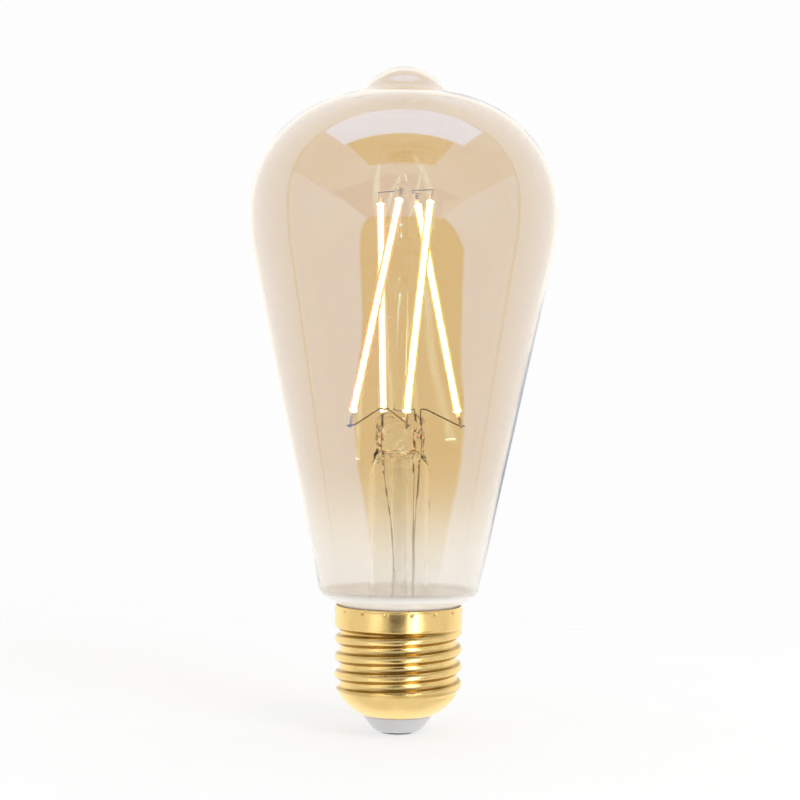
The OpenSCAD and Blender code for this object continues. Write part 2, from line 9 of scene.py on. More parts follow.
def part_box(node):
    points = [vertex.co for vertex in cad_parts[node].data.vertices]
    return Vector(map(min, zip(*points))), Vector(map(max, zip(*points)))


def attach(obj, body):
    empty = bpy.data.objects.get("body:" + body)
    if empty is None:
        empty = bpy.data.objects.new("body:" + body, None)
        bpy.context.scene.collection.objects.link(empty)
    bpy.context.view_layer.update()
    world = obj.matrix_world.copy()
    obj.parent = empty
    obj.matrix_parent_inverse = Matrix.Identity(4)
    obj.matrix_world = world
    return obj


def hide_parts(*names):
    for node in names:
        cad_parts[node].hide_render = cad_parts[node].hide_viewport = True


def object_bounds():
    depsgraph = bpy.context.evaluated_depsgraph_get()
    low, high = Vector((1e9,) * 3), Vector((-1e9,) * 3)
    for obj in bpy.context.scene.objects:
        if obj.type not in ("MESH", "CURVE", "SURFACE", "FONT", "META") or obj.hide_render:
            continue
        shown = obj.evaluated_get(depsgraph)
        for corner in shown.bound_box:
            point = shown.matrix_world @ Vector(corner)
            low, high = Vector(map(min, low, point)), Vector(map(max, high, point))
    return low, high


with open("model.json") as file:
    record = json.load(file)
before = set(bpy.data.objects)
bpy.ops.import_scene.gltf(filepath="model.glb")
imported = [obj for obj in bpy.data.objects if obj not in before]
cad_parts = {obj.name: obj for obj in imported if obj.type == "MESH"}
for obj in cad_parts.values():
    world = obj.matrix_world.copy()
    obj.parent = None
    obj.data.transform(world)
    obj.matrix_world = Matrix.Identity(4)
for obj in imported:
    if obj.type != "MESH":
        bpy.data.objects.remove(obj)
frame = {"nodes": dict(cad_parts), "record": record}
CAD_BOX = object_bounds()
NODES = frame["nodes"]
MM = 0.001
UP = Vector((0, 0, 1))


# ------------------------------------------------------------------ measures, from the frame

LOW, HIGH = CAD_BOX
LAMP_H = HIGH.z
BELLY_R = (HIGH.x - LOW.x) / 2


def span(node, axis):
    """The lowest and highest value of a node's box along one axis."""
    low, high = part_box(node)
    return low[axis], high[axis]


def wide(node):
    """Half the width of a round node."""
    low, high = span(node, 0)
    return (high - low) / 2


# ------------------------------------------------------------------ the camera

SUBJECT_D = 0.380      # camera to the lamp's axis
EYE_H = 0.0688         # the camera is level, at this height
LEAN = math.radians(-0.7)      # roll of the camera, for a lamp that leans in the picture
OFF_CENTRE = -0.00025  # the camera stands this far to the right of the lamp's axis
LENS, SENSOR = 82.5, 36.0


def make_camera():
    data = bpy.data.cameras.new("camera")
    data.lens = LENS
    data.sensor_width = SENSOR
    data.clip_start = 0.01
    data.clip_end = 50
    camera = bpy.data.objects.new("camera", data)
    camera.location = (OFF_CENTRE, -SUBJECT_D, EYE_H)
    camera.rotation_euler = (math.pi / 2, LEAN, 0)
    bpy.context.scene.collection.objects.link(camera)
    bpy.context.scene.camera = camera


make_camera()


# ------------------------------------------------------------------ outlines

def arc(centre, r, a0, a1, n):
    """Points on an arc from angle a0 to a1, in degrees."""
    cx, cz = centre
    turns = [math.radians(a0 + (a1 - a0) * i / n) for i in range(n + 1)]
    return [(cx + r * math.cos(t), cz + r * math.sin(t)) for t in turns]


def lerp(a, b, t):
    return a + (b - a) * t


def smooth(t):
    t = min(1.0, max(0.0, t))
    return t * t * (3 - 2 * t)


def rounded(points, r, steps=5):
    """An open outline with its inner corners eased by curves that reach r along each side."""
    out = [points[0]]
    for before, corner, after in zip(points, points[1:], points[2:]):
        b, c, a = Vector(before), Vector(corner), Vector(after)
        reach = min(r, (b - c).length * 0.45, (a - c).length * 0.45)
        start = c + (b - c).normalized() * reach
        end = c + (a - c).normalized() * reach
        for k in range(steps + 1):
            t = k / steps
            out.append(tuple(start.lerp(c, t).lerp(c.lerp(end, t), t)))
    return out + [points[-1]]


# ------------------------------------------------------------------ mesh helpers

CREASE = math.radians(38)      # faces that meet at more than this have a crisp edge between them


def mesh_object(name, verts, faces):
    """A new object of these faces, turned so that they all look outwards."""
    mesh = bpy.data.meshes.new(name)
    mesh.from_pydata([tuple(v) for v in verts], [], faces)
    mesh.validate()
    tidy = bmesh.new()
    tidy.from_mesh(mesh)
    bmesh.ops.remove_doubles(tidy, verts=tidy.verts, dist=1e-7)
    bmesh.ops.recalc_face_normals(tidy, faces=tidy.faces)
    if tidy.calc_volume(signed=True) < 0:
        bmesh.ops.reverse_faces(tidy, faces=tidy.faces)
    bmesh.ops.delete(tidy, geom=[e for e in tidy.edges if not e.link_faces], context="EDGES")
    for edge in tidy.edges:
        edge.smooth = len(edge.link_faces) != 2 or edge.calc_face_angle() < CREASE
    for face in tidy.faces:
        face.smooth = True
    tidy.to_mesh(mesh)
    tidy.free()
    obj = bpy.data.objects.new(name, mesh)
    bpy.context.scene.collection.objects.link(obj)
    return obj


def stack(rings, closed=False):
    """Faces between rings of the same number of points; the last joins the first if closed."""
    n = len(rings[0])
    count = len(rings)
    faces = []
    for j in range(count if closed else count - 1):
        for k in range(n):
            a, b = j * n + k, j * n + (k + 1) % n
            c, d = (j + 1) % count * n + (k + 1) % n, (j + 1) % count * n + k
            faces.append((a, b, c, d))
    return [v for ring in rings for v in ring], faces


def revolve(name, outline, segments):
    """A closed outline in metres, [(radius, height), ...], turned about the lamp's axis."""
    turns = [2 * math.pi * k / segments for k in range(segments)]
    rings = [[(r * math.cos(t), r * math.sin(t), z) for t in turns] for r, z in outline]
    return mesh_object(name, *stack(rings, closed=True))


def stands_for(piece, slot, *nodes):
    """Puts a new piece on the one body and hides these CAD nodes, which it replaces."""
    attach(piece, "root")
    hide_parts(*nodes)
    return piece


# ------------------------------------------------------------------ material helpers

class Nodes:
    """Short names for building one material's node tree."""

    def __init__(self, name):
        self.material = bpy.data.materials.new(name)
        self.material.use_nodes = True
        self.tree = self.material.node_tree
        self.shader = self.tree.nodes["Principled BSDF"]
        self.output = self.tree.nodes["Material Output"]
        self.coords = self.add("ShaderNodeTexCoord")

    def add(self, kind, **values):
        node = self.tree.nodes.new(kind)
        for key, value in values.items():
            setattr(node, key, value)
        return node

    def link(self, out, into):
        self.tree.links.new(out, into)

    def set(self, **sockets):
        """Sets the shader's own sockets, such as set(Roughness=0.2, Coat_Weight=1)."""
        for key, value in sockets.items():
            self.shader.inputs[key.replace("_", " ")].default_value = value

    def noise(self, scale, detail=3.0, stretch=(1, 1, 1)):
        """Noise in object space; scale is in features per metre."""
        mapping = self.add("ShaderNodeMapping")
        mapping.inputs["Scale"].default_value = stretch
        self.link(self.coords.outputs["Object"], mapping.inputs["Vector"])
        texture = self.add("ShaderNodeTexNoise")
        texture.inputs["Scale"].default_value = scale
        texture.inputs["Detail"].default_value = detail
        self.link(mapping.outputs["Vector"], texture.inputs["Vector"])
        return texture.outputs["Fac"]

    def ramp(self, fac, stops):
        node = self.add("ShaderNodeValToRGB")
        while len(node.color_ramp.elements) < len(stops):
            node.color_ramp.elements.new(0.5)
        for element, (place, colour) in zip(node.color_ramp.elements, stops):
            element.position = place
            element.color = (*colour, 1)
        self.link(fac, node.inputs["Fac"])
        return node.outputs["Color"]

    def range(self, value, low, high, to_low, to_high, ease="LINEAR"):
        node = self.add("ShaderNodeMapRange", interpolation_type=ease)
        for key, number in zip(("From Min", "From Max", "To Min", "To Max"), (low, high, to_low, to_high)):
            node.inputs[key].default_value = number
        self.link(value, node.inputs["Value"])
        return node.outputs["Result"]

    def height(self):
        split = self.add("ShaderNodeSeparateXYZ")
        self.link(self.coords.outputs["Object"], split.inputs["Vector"])
        return split.outputs["Z"]

    def bump(self, height, strength, distance):
        node = self.add("ShaderNodeBump")
        node.inputs["Strength"].default_value = strength
        node.inputs["Distance"].default_value = distance
        self.link(height, node.inputs["Height"])
        self.link(node.outputs["Normal"], self.shader.inputs["Normal"])

    def not_mirrored(self):
        """1 for rays that have met no mirror on their way from the camera, else 0."""
        path = self.add("ShaderNodeLightPath")
        seen = self.add("ShaderNodeMath", operation="LESS_THAN")
        self.link(path.outputs["Glossy Depth"], seen.inputs[0])
        seen.inputs[1].default_value = 0.5
        return seen.outputs[0]

    def times(self, a, b):
        node = self.add("ShaderNodeMath", operation="MULTIPLY")
        self.link(a, node.inputs[0])
        self.link(b, node.inputs[1])
        return node.outputs[0]

    def lets_light_in(self, tint):
        """Shadow rays pass through the glass, so that what is inside is lit."""
        path = self.add("ShaderNodeLightPath")
        clear = self.add("ShaderNodeBsdfTransparent")
        clear.inputs["Color"].default_value = (*tint, 1)
        mix = self.add("ShaderNodeMixShader")
        self.link(path.outputs["Is Shadow Ray"], mix.inputs["Fac"])
        self.link(self.shader.outputs["BSDF"], mix.inputs[1])
        self.link(clear.outputs["BSDF"], mix.inputs[2])
        self.link(mix.outputs["Shader"], self.output.inputs["Surface"])


def shade(fac, colour, spread):
    """Two stops round a colour, for a slight variation."""
    dark = [c * (1 - spread) for c in colour]
    light = [min(1, c * (1 + spread)) for c in colour]
    return fac, [(0.3, dark), (0.7, light)]


def paint(material, *nodes, edge=0.0, smooth_wire=False):
    """Gives carried-over CAD nodes a material, and eases their edges or rounds a swept wire."""
    for name in nodes:
        obj = NODES[name]
        obj.data.materials.clear()
        obj.data.materials.append(material)
        weld = obj.modifiers.new("weld", "WELD")
        weld.merge_threshold = 1e-6
        if edge:
            bevel = obj.modifiers.new("bevel", "BEVEL")
            bevel.width = edge
            bevel.segments = 2
            bevel.limit_method = "ANGLE"
            bevel.angle_limit = CREASE
            bevel.harden_normals = True
        if smooth_wire:
            rounder = obj.modifiers.new("rounder", "SUBSURF")
            rounder.levels = rounder.render_levels = 2


def plain(name, colour, rough, spread=0.06, grain=900, bump=0.15, metal=0.0, **sockets):
    """A moulded, drawn or fired surface with slight mottling, uneven gloss and fine grain."""
    m = Nodes(name)
    m.set(Metallic=metal, **sockets)
    fac = m.noise(grain / 3, 4)
    m.link(m.ramp(*shade(fac, colour, spread)), m.shader.inputs["Base Color"])
    gloss = m.range(m.noise(grain / 2, 2), 0.3, 0.7, rough * 0.8, rough * 1.25)
    m.link(gloss, m.shader.inputs["Roughness"])
    m.bump(m.noise(grain * 2, 3), bump, 0.00002)
    return m.material


# ------------------------------------------------------------------ the studio

# The room that the glass and the brass mirror. Seen from the lamp, the ceiling is measured in heights
# of the ceiling: to the right, and away from the camera. The rest is in degrees round and up.
SOFTBOX = (-0.74, 0.72, -0.36, 0.22)           # left, right, near and far edges on the ceiling
DARK_CEILING = (-0.69, 0.58, -1.28, -0.36)
BACKDROP = 93.5                                # past this angle the white backdrop starts
WALL_LINE, WALL_SLOPE = -0.315, 0.45           # where the walls' two greys meet, and how that line rises
GAP_RISE = (-52, -4)                           # lowest and highest elevation of the dark gap
BACKDROP_WHITE = (0.985, 0.985, 0.985)         # what every ray sees that isn't mirrored
LOWER_WALL, UPPER_WALL = (0.80, 0.80, 0.80), (0.56, 0.56, 0.58)
BACKDROP_EDGE, BACKDROP_FAR = (0.86, 0.86, 0.86), (1.12, 1.12, 1.12)
CONTOUR, GAP_DARK = (0.15, 0.13, 0.10), (0.02, 0.015, 0.01)
CEILING_DARK, SOFTBOX_LIGHT = (0.07, 0.07, 0.09), (1.33, 1.38, 1.48)
# Half-widths of the dark gap round the camera, by elevation
GAP_LEFT = [(-30, 38), (-26.7, 43), (-25, 48), (-23.8, 49), (-22.9, 48.5), (-22, 45), (-21, 36), (-18, 33.5),
            (-9.5, 30.5), (-4, 25)]
GAP_RIGHT = [(-30, 56), (-24.4, 66), (-22.7, 70), (-21.6, 69.5), (-20.9, 66), (-20, 56), (-18.3, 50.5),
             (-16, 46), (-9.4, 38.5), (-4, 30)]


def studio_world():
    """White backdrop, with softer panels and gaps that show only in reflections."""
    world = bpy.data.worlds.new("studio")
    bpy.context.scene.world = world
    world.use_nodes = True
    tree = world.node_tree
    add, link = tree.nodes.new, tree.links.new
    background = tree.nodes["Background"]

    def math_node(kind, a, b=0.0):
        node = add("ShaderNodeMath")
        node.operation = kind
        for socket, value in zip(node.inputs, (a, b)):
            if isinstance(value, (int, float)):
                socket.default_value = value
            else:
                link(value, socket)
        return node.outputs[0]

    def ramp_up(value, edge, soft):
        node = add("ShaderNodeMapRange")
        node.interpolation_type = "SMOOTHSTEP"
        node.inputs["From Min"].default_value = edge - soft
        node.inputs["From Max"].default_value = edge + soft
        link(value, node.inputs["Value"])
        return node.outputs["Result"]

    def window(value, low, high, soft):
        return math_node("SUBTRACT", ramp_up(value, low, soft), ramp_up(value, high, soft))

    def tint(base, fac, colour):
        node = add("ShaderNodeMix")
        node.data_type = "RGBA"
        link(fac, node.inputs["Factor"])
        if isinstance(base, tuple):
            node.inputs["A"].default_value = (*base, 1)
        else:
            link(base, node.inputs[6])
        node.inputs[7].default_value = (*colour, 1)
        return node.outputs[2]

    def curve(value, points):
        node = add("ShaderNodeFloatCurve")
        line = node.mapping.curves[0]
        places = [((el + 30) / 30, wide_at / 90) for el, wide_at in points]
        while len(line.points) < len(places):
            line.points.new(0.5, 0.5)
        for point, place in zip(line.points, places):
            point.location = place
        node.mapping.update()
        link(math_node("DIVIDE", math_node("ADD", value, 30), 30), node.inputs["Value"])
        return math_node("MULTIPLY", node.outputs["Value"], 90)

    def over(a, b):
        return math_node("MULTIPLY", a, b)

    def box(u, v, sides, soft):
        return over(window(u, sides[0], sides[1], soft), window(v, sides[2], sides[3], soft))

    coords = add("ShaderNodeTexCoord")
    split = add("ShaderNodeSeparateXYZ")
    link(coords.outputs["Generated"], split.inputs[0])
    x, y, z = split.outputs
    across = math_node("DEGREES", math_node("ARCTAN2", x, over(y, -1)))
    off = math_node("ABSOLUTE", across)
    rise = math_node("DEGREES", math_node("ARCSINE", z))
    up = math_node("MAXIMUM", z, 0.05)
    overhead = ramp_up(z, 0.2, 0.05)
    ceiling = math_node("DIVIDE", x, up), math_node("DIVIDE", y, up)
    ahead = math_node("MAXIMUM", over(y, -1), 0.05)
    wall_line = math_node("SUBTRACT", math_node("DIVIDE", z, ahead),
                          over(math_node("DIVIDE", math_node("ABSOLUTE", x), ahead), WALL_SLOPE))
    colour = tint(LOWER_WALL, ramp_up(wall_line, WALL_LINE, 0.02), UPPER_WALL)
    edge = math_node("ADD", BACKDROP, over(over(z, z), 25))
    past = math_node("SUBTRACT", off, edge)
    colour = tint(colour, ramp_up(past, 0, 1.2), BACKDROP_EDGE)
    colour = tint(colour, over(ramp_up(past, 24, 24), ramp_up(over(rise, -1), -55, 10)), BACKDROP_FAR)
    colour = tint(colour, over(window(past, -1.2, 1.2, 0.8), 0.5), CONTOUR)
    gap = over(window(rise, *GAP_RISE, 1.2),
               over(ramp_up(math_node("SUBTRACT", curve(rise, GAP_RIGHT), across), 0, 1.5),
                    ramp_up(math_node("ADD", curve(rise, GAP_LEFT), across), 0, 1.5)))
    colour = tint(colour, gap, GAP_DARK)
    colour = tint(colour, over(overhead, box(*ceiling, DARK_CEILING, 0.03)), CEILING_DARK)
    colour = tint(colour, over(overhead, box(*ceiling, SOFTBOX, 0.02)), SOFTBOX_LIGHT)

    path = add("ShaderNodeLightPath")
    mirror = over(math_node("GREATER_THAN", path.outputs["Glossy Depth"], 0.5),
                  math_node("SUBTRACT", 1, path.outputs["Is Diffuse Ray"]))
    link(tint_by(add, link, mirror, BACKDROP_WHITE, colour), background.inputs["Color"])


def tint_by(add, link, fac, plain_colour, colour):
    """A colour that turns from plain_colour to the linked colour with fac."""
    node = add("ShaderNodeMix")
    node.data_type = "RGBA"
    link(fac, node.inputs["Factor"])
    node.inputs[6].default_value = (*plain_colour, 1)
    link(colour, node.inputs[7])
    return node.outputs[2]


FLOOR_LIFT = 0.05      # the floor's own faint light, so that it meets the backdrop
FLOOR_R, FLOOR_Z = 0.6, -0.00002
FADE_START, FADE_END = 0.05, 0.45      # the floor thins out between these distances from the lamp


def make_floor():
    """A pale floor under the contact that fades into the white backdrop."""
    turns = [2 * math.pi * k / 96 for k in range(96)]
    rings = []
    for j in range(25):
        r = FLOOR_R * (j + 0.02) / 24
        rings.append([(r * math.cos(t), r * math.sin(t), FLOOR_Z) for t in turns])
    floor = mesh_object("floor", *stack(rings))
    m = Nodes("floor")
    m.set(Roughness=0.85)
    m.link(m.ramp(*shade(m.noise(40, 2), (0.85, 0.85, 0.85), 0.01)), m.shader.inputs["Base Color"])
    m.set(Emission_Color=(1, 1, 1, 1), Emission_Strength=FLOOR_LIFT)
    span_node = m.add("ShaderNodeVectorMath", operation="LENGTH")
    m.link(m.coords.outputs["Object"], span_node.inputs[0])
    fade = m.range(span_node.outputs["Value"], FADE_START, FADE_END, 0.40, 0.0, "SMOOTHSTEP")
    m.link(m.times(fade, m.not_mirrored()), m.shader.inputs["Alpha"])
    floor.data.materials.append(m.material)
    floor.visible_glossy = False
    floor.visible_shadow = False


def soft_light(name, place, target, size, energy, only=None):
    """A soft lamp that no mirror shows. With an object in only, it lights and shows in that alone."""
    data = bpy.data.lights.new(name, "AREA")
    data.shape = "RECTANGLE"
    data.size, data.size_y = size
    data.energy = energy
    light = bpy.data.objects.new(name, data)
    light.location = place
    light.rotation_euler = (Vector(target) - Vector(place)).to_track_quat("-Z", "Y").to_euler()
    light.visible_camera = False
    light.visible_glossy = only is not None
    light.visible_transmission = False
    if only:
        receivers = bpy.data.collections.new(name)
        receivers.objects.link(only)
        light.light_linking.receiver_collection = receivers
    bpy.context.scene.collection.objects.link(light)


def make_studio():
    studio_world()
    make_floor()
    middle = (0, 0, LAMP_H / 2)
    soft_light("key", (0.45, -0.55, 0.55), middle, (0.3, 0.3), 2.2)
    scene = bpy.context.scene
    scene.view_settings.view_transform = "Standard"
    scene.cycles.max_bounces = 24
    scene.cycles.transmission_bounces = 24
    scene.cycles.transparent_max_bounces = 24
    scene.cycles.glossy_bounces = 8


make_studio()


# ------------------------------------------------------------------ glass

WALL = 0.8 * MM
TAPER = 11.9
CONE_ARC, DOME_ARC = 45 * MM, 24.4 * MM
TIP_R, TIP_FILLET = 10 * MM, 8 * MM
BELLY_Z = 107.5 * MM
SHOULDER_R, SHOULDER_Z, SHOULDER_LEAN = 3.2 * MM, 30 * MM, 62
NECK_R, NECK_FILLET = 12.3 * MM, 1.2 * MM
SEAL_R, SEAL_Z = 10.2 * MM, 17.6 * MM


def turn_of(v):
    return math.degrees(math.atan2(v[1], v[0]))


def envelope_line(t):
    """The envelope's meridian from the seal to the tip, moved inwards by t."""
    tip = Vector((0, LAMP_H - TIP_R))
    dome = Vector((BELLY_R - DOME_ARC, BELLY_Z))
    cone = (BELLY_R - CONE_ARC, BELLY_Z)
    reach_tip, reach_dome = TIP_R + TIP_FILLET, DOME_ARC + TIP_FILLET
    gap = dome - tip
    along = (reach_tip ** 2 - reach_dome ** 2 + gap.length_squared) / (2 * gap.length)
    off = math.sqrt(reach_tip ** 2 - along ** 2)
    u = gap.normalized()
    hollow = tip + along * u + off * Vector((-u.y, u.x))
    dome_turn, tip_turn = turn_of(hollow - dome), turn_of(hollow - tip)
    lean, taper = math.radians(SHOULDER_LEAN), math.radians(TAPER)
    end = (cone[0] + CONE_ARC * math.cos(taper), cone[1] - CONE_ARC * math.sin(taper))
    foot = (end[0] - (end[1] - SHOULDER_Z) * math.tan(taper), SHOULDER_Z)
    shoulder = (foot[0] - SHOULDER_R * math.cos(taper), foot[1] + SHOULDER_R * math.sin(taper))
    low = (shoulder[0] + SHOULDER_R * math.cos(lean), shoulder[1] - SHOULDER_R * math.sin(lean))
    run = (low[0] - NECK_R - NECK_FILLET * (1 - math.cos(lean))) / math.sin(lean)
    fillet = (NECK_R + NECK_FILLET, low[1] - run * math.cos(lean) - NECK_FILLET * math.sin(lean))
    return (
        [(SEAL_R - t, SEAL_Z), (11.2 * MM - t, 20.4 * MM), (NECK_R - t, 22.9 * MM)]
        + arc(fillet, NECK_FILLET + t, 180, 180 - SHOULDER_LEAN, 10)
        + arc(shoulder, SHOULDER_R - t, -SHOULDER_LEAN, -TAPER, 14)
        + arc(cone, CONE_ARC - t, -TAPER, 0, 24)
        + arc(dome, DOME_ARC - t, 0, dome_turn, 48)[1:]
        + arc(hollow, TIP_FILLET + t, dome_turn + 180, tip_turn + 180, 16)[1:]
        + arc(tip, TIP_R - t, tip_turn, 90, 16)[1:]
    )


def clear_glass(name, colour=(1, 1, 1), wave=0.05, wave_scale=500, rough=0.0, ior=1.5):
    m = Nodes(name)
    m.set(Transmission_Weight=1.0, IOR=ior)
    fac = m.noise(260, 3)
    m.link(m.ramp(*shade(fac, colour, 0.012)), m.shader.inputs["Base Color"])
    m.link(m.range(m.noise(900, 2), 0.3, 0.7, rough, rough + 0.012), m.shader.inputs["Roughness"])
    m.bump(m.noise(wave_scale, 2), wave, 0.0001)
    m.lets_light_in(colour)
    return m.material


# The envelope's finish, between heights
OPAQUE = 28.4 * MM, 30 * MM         # milky and opaque below, see-through above
HAZE = 30 * MM, 50 * MM             # a thin haze that clears
LUSTRE = 30 * MM, 59 * MM           # the amber coat comes in
BODY = 27 * MM, 59 * MM             # the three body tints follow each other
BODY_TINTS = [(0.055, (0.89, 0.855, 0.815)), (0.095, (0.95, 0.94, 0.92)), (0.96, (0.88, 0.795, 0.645))]
SHINE_TINTS = [(0.0, (0.10, 0.11, 0.12)), (1.0, (0.144, 0.42, 1.0))]
LIGHT_THROUGH = (0.90, 0.80, 0.66)
LUSTRE_IOR = 2.8                    # the metal-oxide coat shines more than bare glass


def amber_glass():
    """Clear glass with a lustre coat: amber through it, bluish off it, milky white at the neck."""
    m = Nodes("amber_glass")
    m.set(IOR=LUSTRE_IOR)
    streak = m.range(m.noise(60, 4, (1, 1, 0.35)), 0.2, 0.8, 0.93, 1.0)
    coat = m.times(m.range(m.height(), *LUSTRE, 0.0, 1.0, "SMOOTHSTEP"), streak)
    body = m.ramp(m.times(m.range(m.height(), *BODY, 0.0, 1.0), streak), BODY_TINTS)
    body.node.color_ramp.interpolation = "EASE"
    m.link(body, m.shader.inputs["Base Color"])
    m.link(m.ramp(coat, SHINE_TINTS), m.shader.inputs["Specular Tint"])
    haze = m.range(m.height(), *HAZE, 0.77, 1.0)
    clear = m.range(m.height(), *OPAQUE, 0.0, 1.0, "SMOOTHSTEP")
    m.link(m.times(haze, clear), m.shader.inputs["Transmission Weight"])
    m.link(m.range(m.noise(700, 3), 0.3, 0.7, 0.0, 0.012), m.shader.inputs["Roughness"])
    m.bump(m.noise(45, 2), 0.035, 0.0006)
    m.lets_light_in(LIGHT_THROUGH)
    return m.material


def make_envelope():
    outer, inner = envelope_line(0), envelope_line(WALL)
    envelope = revolve("envelope", outer + inner[::-1], 256)
    envelope.data.materials.append(amber_glass())
    stands_for(envelope, "amber_glass", "glass_envelope")


make_envelope()


# ------------------------------------------------------------------ the glass stem

STEM_R, STEM_WALL = wide("pinch_seal"), 1.0 * MM
FLARE_R, FLARE_Z, FLARE_TURN = 7.4 * MM, 24 * MM, 54
PINCH_LOW, PINCH_TOP = span("pinch_seal", 2)
PINCH_FLAT = 58.8 * MM
PINCH_W, PINCH_T = 9.8 * MM, 3.8 * MM
CAVITY_TOP = 58.6 * MM
EXHAUST_TOP = 57.0 * MM      # where the tube runs into the narrowing press
BEAD = 0.8 * MM
# Unevenness of the glass: how far it moves in mm, features per metre, and a seed
TUBE_RIPPLE, BORE_RIPPLE = (0.04, 90, 3), (0.04, 90, 5)
PRESS_BITES, PRESS_PITS, CAVITY_BITES = (0.55, 420, 11), (0.18, 1500, 12), (0.5, 500, 21)
STEM_TINT, ROD_TINT = (0.985, 0.985, 0.97), (0.985, 0.985, 0.975)


def ring(z, w, t, power, n=128):
    """One level of the pressed glass: a superellipse w wide and t thick."""
    points = []
    for k in range(n):
        a = 2 * math.pi * k / n
        c, s = math.cos(a), math.sin(a)
        x = w / 2 * math.copysign(abs(c) ** (2 / power), c)
        y = t / 2 * math.copysign(abs(s) ** (2 / power), s)
        points.append(Vector((x, y, z)))
    return points


def crumple(point, dents, share=1):
    """Moves a point as glass does where the press jaws bit into it."""
    amount, scale, seed = dents
    p = point * scale + Vector((seed, 0, 0))
    moved = Vector((noise.noise(p), noise.noise(p + UP * 9), 0.6 * noise.noise(p - UP * 9)))
    return point + amount * share * MM * moved


def press_levels(low, flat, top, r, w, t, steps, round_top):
    """Rings from the round tube at low, through the shoulders at flat, to the rounded top."""
    rings = []
    for j in range(steps + 1):
        z = lerp(low, top, j / steps)
        press = smooth((z - low) / (flat - low))
        crown = max(0.0, (z - (top - round_top)) / round_top)
        close = math.sqrt(max(0.0, 1 - crown ** 2)) if crown > 0 else 1.0
        ridge = 1 + 0.05 * math.sin(math.radians(360 * 2.2 * (z - flat) / (top - flat))) * press
        across = lerp(2 * r, w, press) * (0.35 + 0.65 * close)
        deep = lerp(2 * r, t * ridge, press) * (0.12 + 0.88 * close)
        rings.append((z, across, deep, press))
    return rings


def make_stem_glass():
    """The flare tube and the press are one piece of fused glass, hollow up to the press."""
    outer, inner = [], []
    c = (STEM_R + FLARE_R, FLARE_Z)
    edge = SEAL_R - WALL - 0.03 * MM
    profile = [(edge, SEAL_Z + 0.03 * MM)] + arc(c, FLARE_R, 180 + FLARE_TURN, 180, 20)
    hollow = [(SEAL_R - 0.3 * MM, SEAL_Z - BEAD)]
    hollow += arc(c, FLARE_R + STEM_WALL, 180 + FLARE_TURN - 4, 180, 20)
    for r, z in profile:
        outer.append(ring(z, 2 * r, 2 * r, 2))
    for r, z in hollow:
        inner.append(ring(z, 2 * r, 2 * r, 2))
    bore = STEM_R - STEM_WALL
    for j in range(1, 30):
        z = lerp(FLARE_Z, PINCH_LOW, j / 30)
        outer.append([crumple(p, TUBE_RIPPLE) for p in ring(z, 2 * STEM_R, 2 * STEM_R, 2)])
        inner.append([crumple(p, BORE_RIPPLE) for p in ring(z, 2 * bore, 2 * bore, 2)])
    top = PINCH_TOP - 0.05 * MM
    skin = press_levels(PINCH_LOW, PINCH_FLAT, top, STEM_R, PINCH_W, PINCH_T, 60, 1.6 * MM)
    for z, w, t, press in skin:
        base = ring(z, w, t, lerp(2, 3.2, press))
        outer.append([crumple(crumple(p, PRESS_BITES, press), PRESS_PITS, press) for p in base])
    cavity = press_levels(PINCH_LOW, PINCH_FLAT, CAVITY_TOP, bore, PINCH_W - 2 * MM, 1.8 * MM, 30, 0.9 * MM)
    for z, w, t, press in cavity:
        inner.append([crumple(p, CAVITY_BITES, press) for p in ring(z, w, t, lerp(2, 2.6, press))])
    verts, faces = stack(outer)
    more, inner_faces = stack(inner)
    n, lift = len(outer[0]), len(verts)
    faces += [tuple(lift + i for i in f) for f in inner_faces]
    faces += [(k, (k + 1) % n, lift + (k + 1) % n, lift + k) for k in range(n)]
    for rings, start in ((outer, 0), (inner, lift)):
        end = start + (len(rings) - 1) * n
        centre = sum(rings[-1], Vector()) / n
        middle = len(verts) + len(more)
        more.append(centre)
        faces += [(end + k, end + (k + 1) % n, middle) for k in range(n)]
    stem = mesh_object("stem_glass", verts + more, faces)
    stem.data.materials.append(clear_glass("stem_glass", STEM_TINT, wave=0.06, wave_scale=700))
    stands_for(stem, "clear_glass", "stem_flare", "pinch_seal")


def make_exhaust_tube():
    """A tube melted shut at its lower end."""
    low, high = span("exhaust_tube", 2)[0], EXHAUST_TOP
    r, bore = wide("exhaust_tube"), 1.2 * MM
    outline = rounded([(0.02 * MM, low), (0.5 * MM, low), (r, low + 1.2 * MM), (r, high)], 0.4 * MM)
    hollow = [(bore, high), (bore, low + 1.4 * MM), (0.02 * MM, low + 0.9 * MM)]
    tube = revolve("exhaust_glass", outline + rounded(hollow, 0.4 * MM), 64)
    tube.data.materials.append(clear_glass("exhaust_glass", (0.98, 0.985, 0.97), wave=0.04))
    stands_for(tube, "clear_glass", "exhaust_tube")


def make_post():
    """A drawn rod, thicker where it was fused to the press."""
    low, high = span("support_post", 2)
    r, foot, steps = 1.2 * MM, 0.45 * MM, 60
    outline = [(0.01 * MM, low + 0.02 * MM), (r + foot, low + 0.02 * MM)]
    outline += [(r + foot * math.exp(-k / 3), low + (0.1 + 0.25 * k) * MM) for k in range(1, 14)]
    for k in range(1, steps):
        z = lerp(low + 4 * MM, high - 0.4 * MM, k / steps)
        outline.append((r * (1 + 0.03 * noise.noise(Vector((0, 0, z * 180)))), z))
    outline += [(r, high - 0.05 * MM), (0.01 * MM, high - 0.05 * MM)]
    post = revolve("post_glass", outline, 64)
    post.data.materials.append(clear_glass("post_glass", ROD_TINT, wave=0.05, rough=0.12, ior=1.15))
    stands_for(post, "clear_glass", "support_post")


